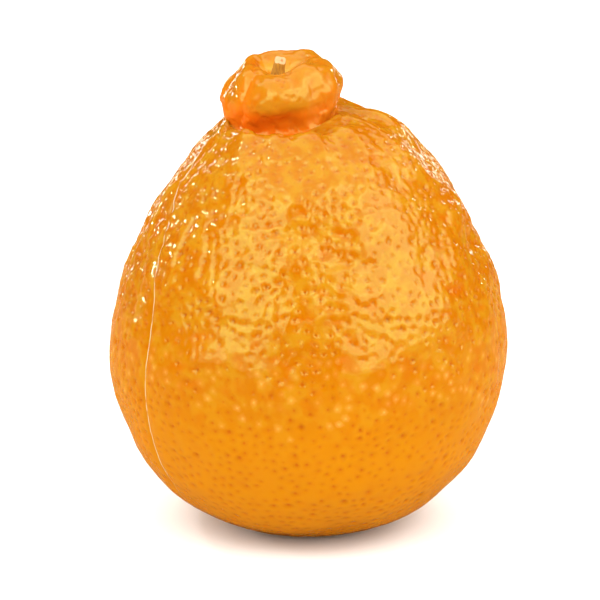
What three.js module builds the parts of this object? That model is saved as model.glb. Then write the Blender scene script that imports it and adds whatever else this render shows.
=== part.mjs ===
// A tangelo: one ripe citrus fruit standing on its foot. Its rind is one grown surface, from the
// style scar under the foot, over the furrowed body and the neck, to the fat folded knob and the
// pit in its top. The stub of the cut stem stands in the pit on its five-lobed calyx.
// Millimetres, +Z up, the origin in the middle of the foot, the front towards -Y.
import * as THREE from 'three';

// Driving dimensions
const BODY_RADIUS = 44;
const NECK_HEIGHT = 92.6;
const KNOB_RADIUS = 13.2;
const KNOB_HEIGHT = 11.3;
const STEM_RADIUS = 1.3;
const STEM_LENGTH = 4.8;
const CALYX_THICKNESS = 0.35;
const STEM_GAP = 0.6;

// Faces round the fruit and the stem, and the spacing of the fruit's rows on body and knob
const FRUIT_SEGMENTS = 72;
const BODY_ROW_SPACING = 3.3;
const KNOB_ROW_SPACING = 1.5;
const STEM_SEGMENTS = 20;

const { clamp, degToRad, euclideanModulo, lerp, smoothstep } = THREE.MathUtils;

// The rind's sections from the style scar up to the neck: share of BODY_RADIUS, share of
// NECK_HEIGHT, and how far the section's middle leans to +X and +Y
const BODY_SECTIONS = [
  [0.0, 0.01, 0, 0],
  [0.05, 0.008, 0, 0],
  [0.095, 0.0, 0, 0],
  [0.273, 0.0, 0, 0],
  [0.45, 0.021, 0.2, 0],
  [0.664, 0.078, 0.1, 0],
  [0.845, 0.177, -0.1, 0],
  [0.961, 0.308, 0, 0],
  [1.0, 0.443, 0, 0],
  [0.945, 0.578, 0.5, 0],
  [0.834, 0.713, 0.3, 0],
  [0.682, 0.842, 0.3, 0],
  [0.518, 0.933, 0.6, 0],
  [0.391, 0.978, -1.2, 0.5],
];

// The knob's sections from the neck over the crest down to the pit's floor: share of KNOB_RADIUS,
// share of KNOB_HEIGHT above the neck, lean to +X and +Y, and rise per millimetre along +X and +Y
const KNOB_SECTIONS = [
  [0.91, 0.0, -5.8, 1.5, 0.06, 0.3],
  [0.98, 0.257, -5.9, 1.4, 0.08, 0.24],
  [0.99, 0.522, -5.7, 1.3, 0.08, 0.16],
  [0.84, 0.823, -5.8, 1.2, 0.07, 0.12],
  [0.61, 1.0, -6.1, 1.0, 0.04, 0.1],
  [0.424, 0.93, -6.3, 0.8, 0, 0.07],
  [0.295, 0.78, -6.7, 0.5, 0, 0],
  [0.21, 0.56, -6.8, 0.4, 0, 0],
  [0.0, 0.5, -6.8, 0.4, 0, 0],
];

// Places along the sections, counted in sections
const FOOT_EDGE = 3;
const NECK = BODY_SECTIONS.length;
const CREST = NECK + 4;
const PIT_FLOOR = NECK + KNOB_SECTIONS.length - 1;

// Long furrows down the body: angle from the front at the top, the middle and the foot, depth,
// half width, and the heights between which each one runs
const FURROWS = [
  { top: -84, middle: -52.5, foot: -60, depth: 0.55, width: 1.0, low: 4, high: 86 },
  { top: 4, middle: 5.5, foot: 6, depth: 0.25, width: 1.6, low: 6, high: 58 },
  { top: -50, middle: -46, foot: -44, depth: 0.35, width: 1.6, low: 62, high: 92 },
  { top: -82, middle: -86, foot: -90, depth: 0.45, width: 2.0, low: 20, high: 92 },
  { top: 38, middle: 44, foot: 48, depth: 0.3, width: 2.2, low: 60, high: 92 },
  { top: 78, middle: 72, foot: 70, depth: 0.4, width: 2.0, low: 30, high: 93 },
  { top: 112, middle: 106, foot: 104, depth: 0.45, width: 1.8, low: 8, high: 92 },
  { top: 150, middle: 148, foot: 152, depth: 0.4, width: 1.6, low: 10, high: 90 },
  { top: -160, middle: -156, foot: -150, depth: 0.5, width: 1.6, low: 6, high: 92 },
  { top: -122, middle: -126, foot: -128, depth: 0.4, width: 1.8, low: 8, high: 90 },
];
const FURROW_MIDDLE = 45;
const FURROW_FADE = 10;
const FURROW_LIP = 0.35;
const FURROW_LIP_WIDTH = 3.5;
const GROOVE_ROUNDING = 0.2;

// Folds of the knob: angle at the neck, on the knob's side and in the pit, depth on the side and
// over the crest, and half width in degrees. The first is the deep crease left of the front lobe.
const FOLDS = [
  { neck: -52, side: -40, pit: -80, depth: 1.6, crest: 0.8, width: 9 },
  { neck: -95, side: -88, pit: -100, depth: 0.7, crest: 0.4, width: 12 },
  { neck: -145, side: -140, pit: -140, depth: 0.7, crest: 0.3, width: 12 },
  { neck: 165, side: 170, pit: 175, depth: 0.8, crest: 0.15, width: 11 },
  { neck: 96, side: 104, pit: 132, depth: 1.2, crest: 0.8, width: 9 },
  { neck: 34, side: 33, pit: 48, depth: 0.4, crest: 0.1, width: 11 },
];

// Lobes and hollows of the knob and the neck: angle, half width in degrees, place, half length in
// sections, and how far each bulges
const LOBES = [
  { angle: -12, width: 34, at: NECK + 2.3, reach: 1.2, bulge: 1.5 },
  { angle: -8, width: 40, at: NECK + 0.7, reach: 0.9, bulge: -1.6 },
  { angle: -4, width: 24, at: CREST + 0.5, reach: 1.6, bulge: -2.0 },
  { angle: 30, width: 20, at: CREST, reach: 1.2, bulge: 0.5 },
  { angle: 48, width: 26, at: NECK - 0.1, reach: 0.7, bulge: 2.2 },
  { angle: 86, width: 30, at: NECK + 1, reach: 1.0, bulge: 0.7 },
  { angle: -88, width: 34, at: NECK + 0.6, reach: 1.1, bulge: 0.8 },
  { angle: -84, width: 38, at: NECK + 3.2, reach: 1.5, bulge: -1.4 },
  { angle: -140, width: 26, at: CREST, reach: 1.2, bulge: 0.4 },
  { angle: -80, width: 40, at: CREST + 1.4, reach: 0.9, bulge: 0.5 },
  { angle: 180, width: 80, at: CREST, reach: 1.4, bulge: -0.4 },
  { angle: 88, width: 36, at: NECK - 0.8, reach: 0.8, bulge: 0.5 },
  { angle: -88, width: 30, at: NECK - 0.4, reach: 0.8, bulge: 0.6 },
  { angle: -80, width: 30, at: NECK - 2.4, reach: 0.8, bulge: -0.5 },
];

// Soft lumps: length of the longest and the shortest wave, and height of the swell
const BODY_LUMPS = { longest: 26, shortest: 12, phase: 1 };
const BODY_SWELL = { low: 0.14, high: 0.27, from: 35, to: 70 };
const KNOB_LUMPS = { longest: 14, shortest: 6, phase: 2 };
const KNOB_SWELL = 0.25;
const LUMP_WAVES = 14;
const LUMP_FLATNESS = 1.5;
const GOLDEN_ANGLE = 2.399963;
const GOLDEN_SHARE = 0.618034;

// Ridges that run from the neck down the shoulder: waves in a turn, sway and shift in degrees, and
// height of the ridges
const RIDGES = { coarse: 8, fine: 13, sway: 30, shift: 80, height: 0.55 };

const BODY_PARTS = BODY_SECTIONS.map(([radius, height, leanX, leanY]) => ({
  outline: new THREE.Vector2(radius * BODY_RADIUS, height * NECK_HEIGHT),
  lean: new THREE.Vector2(leanX, leanY),
  tip: new THREE.Vector2(0, 0),
}));
const KNOB_PARTS = KNOB_SECTIONS.map(([radius, height, leanX, leanY, tipX, tipY]) => ({
  outline: new THREE.Vector2(radius * KNOB_RADIUS, NECK_HEIGHT + height * KNOB_HEIGHT),
  lean: new THREE.Vector2(leanX, leanY),
  tip: new THREE.Vector2(tipX, tipY),
}));
const SECTIONS = [...BODY_PARTS, ...KNOB_PARTS];
const outlineCurve = new THREE.SplineCurve(SECTIONS.map((section) => section.outline));
const leanCurve = new THREE.SplineCurve(SECTIONS.map((section) => section.lean));
const tipCurve = new THREE.SplineCurve(SECTIONS.map((section) => section.tip));

// A curve's value at a place counted in sections
function along(curve, place) {
  return curve.getPoint(clamp(place / PIT_FLOOR, 0, 1));
}

// The outline's outward normal, in radius and height
function outlineNormal(place) {
  const step = 0.02;
  const ahead = along(outlineCurve, place + step);
  const behind = along(outlineCurve, place - step);
  return new THREE.Vector2(ahead.y - behind.y, behind.x - ahead.x).normalize();
}

// An angle in degrees brought between -180 and 180
function turned(angle) {
  return euclideanModulo(angle + 180, 360) - 180;
}

// A round bump of height 1 with the given half width
function bump(offset, width) {
  return Math.exp(-((offset / width) ** 2));
}

// A narrow groove of depth 1 with the given half width and a slightly rounded bottom
function groove(offset, width) {
  const rounding = GROOVE_ROUNDING * width;
  return Math.exp((rounding - Math.hypot(offset, rounding)) / width);
}

// A field of soft lumps: waves of several lengths that run in directions spread over a sphere
function lumps(x, y, z, { longest, shortest, phase }) {
  let total = 0;
  for (let wave = 0; wave < LUMP_WAVES; wave += 1) {
    const up = 1 - (2 * wave + 1) / LUMP_WAVES;
    const level = Math.sqrt(1 - up * up);
    const heading = GOLDEN_ANGLE * wave;
    const length = longest * (shortest / longest) ** ((GOLDEN_SHARE * wave) % 1);
    const distance = level * (Math.cos(heading) * x + Math.sin(heading) * y) + up * z;
    total += Math.sin((2 * Math.PI / length) * distance + phase * wave * wave);
  }
  return total / Math.sqrt(LUMP_WAVES / 2);
}

// Depth of the long furrows, with the low lips that rise on both sides of each
function furrowRelief(radius, height, angle) {
  let relief = 0;
  for (const furrow of FURROWS) {
    const share = (height - FURROW_MIDDLE) / FURROW_MIDDLE;
    const end = share > 0 ? furrow.top : furrow.foot;
    const course = furrow.middle + (end - furrow.middle) * share * share;
    const offset = degToRad(turned(angle - course)) * Math.max(radius, 6);
    const rise = smoothstep(height, furrow.low, furrow.low + FURROW_FADE);
    const fall = 1 - smoothstep(height, furrow.high - FURROW_FADE, furrow.high);
    const lips = FURROW_LIP * bump(offset, FURROW_LIP_WIDTH * furrow.width);
    relief -= furrow.depth * rise * fall * (groove(offset, furrow.width) - lips);
  }
  return relief;
}

// Ridges of the shoulder, strongest just outside the neck
function shoulderRelief(place, radius, height, angle) {
  if (place > NECK + 0.5) {
    return 0;
  }
  const inner = smoothstep(radius, 11, 13.5);
  const outer = 1 - smoothstep(radius, 16, 30);
  const raised = smoothstep(height, 60, 80);
  const fine = Math.sin(degToRad(RIDGES.fine * angle + RIDGES.sway * Math.sin(degToRad(2 * angle))));
  const coarse = Math.sin(degToRad(RIDGES.coarse * angle + RIDGES.shift));
  return RIDGES.height * inner * outer * raised * (0.7 * fine + 0.5 * coarse);
}

// Depth of the knob's folds. A fold bends on its way from the neck to the side and into the pit.
function foldDepth(place, angle) {
  const low = 1 - smoothstep(place, NECK - 0.5, NECK + 1.5);
  const high = smoothstep(place, CREST - 0.3, CREST + 2);
  const over = smoothstep(place, CREST - 2, CREST);
  const fade = 1 - smoothstep(place, CREST + 0.5, PIT_FLOOR);
  const folded = smoothstep(place, NECK - 1.6, NECK + 1.2) * fade;
  let depth = 0;
  for (const fold of FOLDS) {
    const course = fold.side + (fold.neck - fold.side) * low + (fold.pit - fold.side) * high;
    depth += folded * lerp(fold.depth, fold.crest, over) * groove(turned(angle - course), fold.width);
  }
  return depth;
}

// Folds, lobes and soft lumps of the knob
function knobRelief(place, angle, x, y, z) {
  const fade = 1 - smoothstep(place, CREST + 0.5, PIT_FLOOR);
  let relief = -foldDepth(place, angle);
  for (const lobe of LOBES) {
    const across = bump(turned(angle - lobe.angle), lobe.width);
    relief += fade * lobe.bulge * across * bump(place - lobe.at, lobe.reach);
  }
  const onKnob = smoothstep(place, NECK - 0.6, NECK + 0.6) * fade;
  return relief + onKnob * KNOB_SWELL * lumps(x, y, z, KNOB_LUMPS);
}

// A point of the rind: its place along the sections and its angle from the front, in degrees.
// Nothing hangs below the foot, which is flat.
function rindPoint(place, angle) {
  const { x: radius, y: height } = along(outlineCurve, place);
  const normal = outlineNormal(place);
  const lean = along(leanCurve, place);
  const tip = along(tipCurve, place);
  const sine = Math.sin(degToRad(angle));
  const cosine = Math.cos(degToRad(angle));
  const offNeck = 1 - smoothstep(place, NECK - 1, NECK);
  const onBody = offNeck * smoothstep(place, FOOT_EDGE + 0.2, FOOT_EDGE + 2);
  const upper = smoothstep(height, BODY_SWELL.from, BODY_SWELL.to);
  const swell = lerp(BODY_SWELL.low, BODY_SWELL.high, upper);
  const lumpy = swell * lumps(radius * sine, -radius * cosine, LUMP_FLATNESS * height, BODY_LUMPS);
  const body = onBody * (lumpy + furrowRelief(radius, height, angle));
  const shoulder = shoulderRelief(place, radius, height, angle);
  const knob = knobRelief(place, angle, radius * sine, -radius * cosine, height);
  const relief = body + shoulder + knob;
  const x = (radius + relief * normal.x) * sine;
  const y = -(radius + relief * normal.x) * cosine;
  const z = height + relief * normal.y + tip.x * x + tip.y * y;
  return new THREE.Vector3(lean.x + x, lean.y + y, Math.max(z, 0));
}

// Places of the fruit's rows, close together on the knob and wider apart on the body
function rowPlaces() {
  const fineSteps = 40 * PIT_FLOOR;
  const travelled = [0];
  for (let step = 1; step <= fineSteps; step += 1) {
    const place = (step / fineSteps) * PIT_FLOOR;
    const before = along(outlineCurve, place - PIT_FLOOR / fineSteps);
    const length = along(outlineCurve, place).distanceTo(before);
    const onKnob = smoothstep(place, NECK - 1.5, NECK);
    const spacing = lerp(BODY_ROW_SPACING, KNOB_ROW_SPACING, onKnob);
    travelled.push(travelled[step - 1] + length / spacing);
  }
  const rows = Math.round(travelled[fineSteps]);
  const places = [];
  for (let row = 0; row <= rows; row += 1) {
    const goal = (row / rows) * travelled[fineSteps];
    const step = travelled.findIndex((value) => value >= goal - 1e-9);
    places.push((step / fineSteps) * PIT_FLOOR);
  }
  return places;
}

// The whole rind: a lathe surface whose points are moved onto the grown shape
function rindGeometry() {
  const places = rowPlaces();
  const outline = places.map((place) => along(outlineCurve, place));
  const geometry = new THREE.LatheGeometry(outline, FRUIT_SEGMENTS);
  const { position, uv } = geometry.attributes;
  for (let index = 0; index < position.count; index += 1) {
    const segment = Math.round(uv.getX(index) * FRUIT_SEGMENTS) % FRUIT_SEGMENTS;
    const angle = segment * (360 / FRUIT_SEGMENTS);
    const row = Math.round(uv.getY(index) * (places.length - 1));
    const point = rindPoint(places[row], turned(angle));
    position.setXYZ(index, point.x, point.y, point.z);
  }
  geometry.computeVertexNormals();
  return geometry;
}

// The stem with its calyx: share of STEM_RADIUS and height of each section, the share of the
// calyx's lobes in it, and the share of the slanting cut
const STEM_SECTIONS = [
  { radius: 0, height: 0, lobed: 0, cut: 0 },
  { radius: 0.9, height: 0.12, lobed: 0.4, cut: 0 },
  { radius: 1.4, height: 0.6, lobed: 1, cut: 0 },
  { radius: 1.38, height: 0.6 + CALYX_THICKNESS, lobed: 1, cut: 0 },
  { radius: 1.22, height: 1.15 + CALYX_THICKNESS, lobed: 0.15, cut: 0 },
  { radius: 1.1, height: 0.5 * STEM_LENGTH, lobed: 0, cut: 0.1 },
  { radius: 1.0, height: 0.78 * STEM_LENGTH, lobed: 0, cut: 0.8 },
  { radius: 0.97, height: 0.96 * STEM_LENGTH, lobed: 0, cut: 1 },
  { radius: 0.87, height: STEM_LENGTH, lobed: 0, cut: 1 },
  { radius: 0.45, height: STEM_LENGTH, lobed: 0, cut: 1 },
  { radius: 0, height: 0.99 * STEM_LENGTH, lobed: 0, cut: 1 },
];
const CALYX_LOBES = 5;
const CALYX_LOBE_DEPTH = 0.16;
const CUT_SLOPE = 0.6;
const CUT_HUMP = 0.2;
const STEM_LEAN = degToRad(10);

function stemGeometry() {
  const outline = STEM_SECTIONS.map((section) => {
    return new THREE.Vector2(section.radius * STEM_RADIUS, section.height);
  });
  const geometry = new THREE.LatheGeometry(outline, STEM_SEGMENTS);
  const { position, uv } = geometry.attributes;
  for (let index = 0; index < position.count; index += 1) {
    const segment = Math.round(uv.getX(index) * STEM_SEGMENTS) % STEM_SEGMENTS;
    const turn = segment * (2 * Math.PI / STEM_SEGMENTS);
    const section = STEM_SECTIONS[Math.round(uv.getY(index) * (STEM_SECTIONS.length - 1))];
    const lobe = 1 + CALYX_LOBE_DEPTH * section.lobed * Math.cos(CALYX_LOBES * turn);
    const radius = section.radius * STEM_RADIUS * lobe;
    const x = radius * Math.sin(turn);
    const y = -radius * Math.cos(turn);
    const hump = CUT_HUMP * section.radius * Math.cos(3 * turn);
    const z = section.height + section.cut * (CUT_SLOPE * y + hump);
    position.setXYZ(index, x, y, z);
  }
  geometry.computeVertexNormals();
  return geometry;
}

function rindMaterial() {
  return new THREE.MeshStandardMaterial({ name: 'rind', color: 0xf59a1c, roughness: 0.4, metalness: 0 });
}

function stemMaterial() {
  return new THREE.MeshStandardMaterial({ name: 'stem', color: 0x9c7a34, roughness: 0.8, metalness: 0 });
}

const fruit = new THREE.Mesh(rindGeometry(), rindMaterial());
fruit.name = 'fruit';

// The stem stands on the middle of the pit's floor, leaning a little to the right
const stem = new THREE.Mesh(stemGeometry(), stemMaterial());
stem.name = 'stem';
stem.position.copy(rindPoint(PIT_FLOOR, 0));
stem.position.z += STEM_GAP;
stem.rotation.y = STEM_LEAN;

const tangelo = new THREE.Group();
tangelo.name = 'tangelo';
tangelo.add(fruit, stem);

export default tangelo;
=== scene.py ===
import math

import bpy
import numpy as np
from bpy.props import FloatProperty, FloatVectorProperty, PointerProperty
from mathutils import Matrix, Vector, geometry, noise


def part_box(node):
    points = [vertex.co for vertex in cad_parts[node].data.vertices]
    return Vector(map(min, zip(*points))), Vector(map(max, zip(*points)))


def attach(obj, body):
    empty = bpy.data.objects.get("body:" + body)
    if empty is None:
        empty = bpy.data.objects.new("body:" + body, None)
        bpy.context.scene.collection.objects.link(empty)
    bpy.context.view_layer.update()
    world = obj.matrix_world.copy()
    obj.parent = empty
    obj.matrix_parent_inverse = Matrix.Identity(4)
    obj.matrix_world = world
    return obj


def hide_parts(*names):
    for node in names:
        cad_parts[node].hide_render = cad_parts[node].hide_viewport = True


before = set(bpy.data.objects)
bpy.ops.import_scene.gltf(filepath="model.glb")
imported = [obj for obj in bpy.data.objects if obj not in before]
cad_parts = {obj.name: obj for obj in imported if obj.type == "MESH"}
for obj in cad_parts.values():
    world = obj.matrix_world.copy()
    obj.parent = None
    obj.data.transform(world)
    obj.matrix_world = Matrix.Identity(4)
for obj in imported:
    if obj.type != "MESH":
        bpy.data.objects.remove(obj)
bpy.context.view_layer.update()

bl_info = {
    "name": "Knobbed Tangelo",
    "version": (1, 0, 0),
    "blender": (4, 5, 0),
    "location": "View3D > Sidebar > Tangelo",
    "description": "Builds a ripe knobbed citrus fruit with pebbled rind and a cut stem",
    "category": "Add Mesh",
}

# The box of the model that the looks are built on, before anything is added
FRUIT_LOW, FRUIT_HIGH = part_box("fruit")
FRUIT_WIDTH = FRUIT_HIGH.x - FRUIT_LOW.x
FRUIT_HEIGHT = FRUIT_HIGH.z - FRUIT_LOW.z

# One millimetre in Blender's metres: the shapes are worked out in millimetres
MM = 0.001

# Main sizes as shares of the fruit's own box
BODY_RADIUS_SHARE = 0.49904
NECK_HEIGHT_SHARE = 0.88689
KNOB_RADIUS_SHARE = 0.14971
KNOB_HEIGHT_SHARE = 0.10822

# The rind's sections from the style scar up to the neck: share of the body's radius, share of
# the neck's height, and how far the section's middle leans to +X and +Y in millimetres
BODY_SECTIONS = [
    (0.0, 0.01, 0, 0),
    (0.05, 0.008, 0, 0),
    (0.095, 0.0, 0, 0),
    (0.273, 0.0, 0, 0),
    (0.45, 0.021, 0.2, 0),
    (0.664, 0.078, 0.1, 0),
    (0.845, 0.177, -0.1, 0),
    (0.961, 0.308, 0, 0),
    (1.0, 0.443, 0, 0),
    (0.945, 0.578, 0.5, 0),
    (0.834, 0.713, 0.3, 0),
    (0.682, 0.842, 0.3, 0),
    (0.518, 0.933, 0.6, 0),
    (0.391, 0.978, -1.2, 0.5),
]

# The knob's sections from the neck over the crest down to the pit's floor: share of the knob's
# radius, share of its height, lean to +X and +Y, and rise per millimetre along +X and +Y
KNOB_SECTIONS = [
    (0.91, 0.0, -5.8, 1.5, 0.06, 0.3),
    (0.98, 0.257, -5.9, 1.4, 0.08, 0.24),
    (0.99, 0.522, -5.7, 1.3, 0.08, 0.16),
    (0.84, 0.823, -5.8, 1.2, 0.07, 0.12),
    (0.61, 1.0, -6.1, 1.0, 0.04, 0.1),
    (0.424, 0.93, -6.3, 0.8, 0, 0.07),
    (0.295, 0.78, -6.7, 0.5, 0, 0),
    (0.21, 0.56, -6.8, 0.4, 0, 0),
    (0.0, 0.5, -6.8, 0.4, 0, 0),
]

# Places along the sections, counted in sections
FOOT_EDGE = 3
NECK = len(BODY_SECTIONS)
CREST = NECK + 4
PIT_FLOOR = NECK + len(KNOB_SECTIONS) - 1

# Places between which the rind passes from one part into the next
FOOT_TO_BODY = (FOOT_EDGE + 0.2, FOOT_EDGE + 2)
BODY_TO_NECK = (NECK - 1, NECK)
NECK_TO_KNOB = (NECK - 0.6, NECK + 0.6)
CREST_TO_PIT = (CREST + 0.5, PIT_FLOOR)

# Long furrows: angle from the front at the top, middle and foot, depth, half width, and the
# heights between which each one runs. The first is the sharp seam on the left.
FURROWS = [
    {"top": -84, "middle": -52.5, "foot": -60, "depth": 0.55, "width": 1.0, "low": 4, "high": 86},
    {"top": 4, "middle": 5.5, "foot": 6, "depth": 0.25, "width": 1.6, "low": 6, "high": 58},
    {"top": -50, "middle": -46, "foot": -44, "depth": 0.35, "width": 1.6, "low": 62, "high": 92},
    {"top": -82, "middle": -86, "foot": -90, "depth": 0.45, "width": 2.0, "low": 20, "high": 92},
    {"top": 38, "middle": 44, "foot": 48, "depth": 0.3, "width": 2.2, "low": 60, "high": 92},
    {"top": 78, "middle": 72, "foot": 70, "depth": 0.4, "width": 2.0, "low": 30, "high": 93},
    {"top": 112, "middle": 106, "foot": 104, "depth": 0.45, "width": 1.8, "low": 8, "high": 92},
    {"top": 150, "middle": 148, "foot": 152, "depth": 0.4, "width": 1.6, "low": 10, "high": 90},
    {"top": -160, "middle": -156, "foot": -150, "depth": 0.5, "width": 1.6, "low": 6, "high": 92},
    {"top": -122, "middle": -126, "foot": -128, "depth": 0.4, "width": 1.8, "low": 8, "high": 90},
]
FURROW_MIDDLE = 45
FURROW_LEAST_RADIUS = 6
FURROW_FADE = 10
FURROW_LIP = 0.35
FURROW_LIP_WIDTH = 3.5
GROOVE_ROUNDING = 0.2

# The seam's pale line, a painted highlight along it: how far above the seam's lower end it begins
# and is in full, and how far below the upper end it begins to fade
SEAM_LINE_BEGINS = 6
SEAM_LINE_IN_FULL = 16
SEAM_LINE_FADE = 4

# Folds of the knob: angle at the neck, on the knob's side and in the pit, depth on the side and
# over the crest, and half width in degrees. The first is the deep crease left of the front lobe.
FOLDS = [
    {"neck": -52, "side": -40, "pit": -80, "depth": 1.6, "crest": 0.8, "width": 9},
    {"neck": -95, "side": -88, "pit": -100, "depth": 0.7, "crest": 0.4, "width": 12},
    {"neck": -145, "side": -140, "pit": -140, "depth": 0.7, "crest": 0.3, "width": 12},
    {"neck": 165, "side": 170, "pit": 175, "depth": 0.8, "crest": 0.15, "width": 11},
    {"neck": 96, "side": 104, "pit": 132, "depth": 1.2, "crest": 0.8, "width": 9},
    {"neck": 34, "side": 33, "pit": 48, "depth": 0.4, "crest": 0.1, "width": 11},
]

# Places between which the folds deepen, pass over the crest, leave the neck and enter the pit
FOLDS_DEEPEN = (NECK - 1.6, NECK + 1.2)
FOLDS_OVER_CREST = (CREST - 2, CREST)
FOLDS_LEAVE_NECK = (NECK - 0.5, NECK + 1.5)
FOLDS_ENTER_PIT = (CREST - 0.3, CREST + 2)

# Lobes and hollows of the knob and the neck: angle, half width in degrees, place, half length in
# sections, and how far each bulges
LOBES = [
    {"angle": -12, "width": 34, "at": NECK + 2.3, "reach": 1.2, "bulge": 1.5},
    {"angle": -8, "width": 40, "at": NECK + 0.7, "reach": 0.9, "bulge": -1.6},
    {"angle": -4, "width": 24, "at": CREST + 0.5, "reach": 1.6, "bulge": -2.0},
    {"angle": 30, "width": 20, "at": CREST, "reach": 1.2, "bulge": 0.5},
    {"angle": 48, "width": 26, "at": NECK - 0.1, "reach": 0.7, "bulge": 2.2},
    {"angle": 86, "width": 30, "at": NECK + 1, "reach": 1.0, "bulge": 0.7},
    {"angle": -88, "width": 34, "at": NECK + 0.6, "reach": 1.1, "bulge": 0.8},
    {"angle": -84, "width": 38, "at": NECK + 3.2, "reach": 1.5, "bulge": -1.4},
    {"angle": -140, "width": 26, "at": CREST, "reach": 1.2, "bulge": 0.4},
    {"angle": -80, "width": 40, "at": CREST + 1.4, "reach": 0.9, "bulge": 0.5},
    {"angle": 180, "width": 80, "at": CREST, "reach": 1.4, "bulge": -0.4},
    {"angle": 88, "width": 36, "at": NECK - 0.8, "reach": 0.8, "bulge": 0.5},
    {"angle": -88, "width": 30, "at": NECK - 0.4, "reach": 0.8, "bulge": 0.6},
    {"angle": -80, "width": 30, "at": NECK - 2.4, "reach": 0.8, "bulge": -0.5},
]

# Soft lumps: length of the longest and the shortest wave, and height of the swell
BODY_LUMPS = {"longest": 26, "shortest": 12, "phase": 1}
BODY_SWELL = {"low": 0.14, "high": 0.27, "from": 35, "to": 70}
KNOB_LUMPS = {"longest": 14, "shortest": 6, "phase": 2}
KNOB_SWELL = 0.25
LUMP_WAVES = 14
LUMP_FLATNESS = 1.5
GOLDEN_ANGLE = 2.399963
GOLDEN_SHARE = 0.618034

# Ridges that run from the neck down the shoulder: waves in a turn, sway and shift in degrees,
# height, the radii between which they rise and fade, and the heights between which they start
RIDGES = {"coarse": 8, "fine": 13, "sway": 30, "shift": 80, "height": 0.55,
          "rise": (11, 13.5), "fade": (16, 30), "start": (60, 80)}

# Random draws start from this number, so that every run grows the same glands
SEED = 11


def smoothstep(value, low, high):
    """0 below low, 1 above high and a smooth rise between."""
    share = np.clip((value - low) / (high - low), 0, 1)
    return share * share * (3 - 2 * share)


def turned(angle):
    """Angles in degrees brought between -180 and 180."""
    return (angle + 180) % 360 - 180


def bump(offset, width):
    """A round bump of height 1 with the given half width."""
    return np.exp(-((offset / width) ** 2))


def groove(offset, width):
    """A narrow groove of depth 1 with the given half width and a slightly rounded bottom."""
    rounding = GROOVE_ROUNDING * width
    return np.exp((rounding - np.hypot(offset, rounding)) / width)


def lumps(x, y, z, longest, shortest, phase):
    """A field of soft lumps: waves of several lengths in directions spread over a sphere."""
    total = np.zeros_like(x)
    for wave in range(LUMP_WAVES):
        up = 1 - (2 * wave + 1) / LUMP_WAVES
        level = math.sqrt(1 - up * up)
        heading = GOLDEN_ANGLE * wave
        length = longest * (shortest / longest) ** ((GOLDEN_SHARE * wave) % 1)
        distance = level * (math.cos(heading) * x + math.sin(heading) * y) + up * z
        total += np.sin((2 * math.pi / length) * distance + phase * wave * wave)
    return total / math.sqrt(LUMP_WAVES / 2)


def spline(rows, place):
    """A smooth curve through the rows of a table, at places counted in rows."""
    last = len(rows) - 1
    index = np.clip(np.floor(place).astype(int), 0, last - 1)
    share = (place - index)[:, None]
    before = rows[np.maximum(index - 1, 0)]
    start = rows[index]
    end = rows[index + 1]
    after = rows[np.minimum(index + 2, last)]
    leave = (end - before) / 2
    arrive = (after - start) / 2
    cubic = (2 * start - 2 * end + leave + arrive) * share**3
    square = (-3 * start + 3 * end - 2 * leave - arrive) * share**2
    return cubic + square + leave * share + start


# Points at which the outline is measured, the step between two places for its slope, and the
# radius that stands for anything nearer to the axis on the flat map
OUTLINE_STEPS = 4001
SLOPE_STEP = 0.02
LEAST_RADIUS = 0.05


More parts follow.
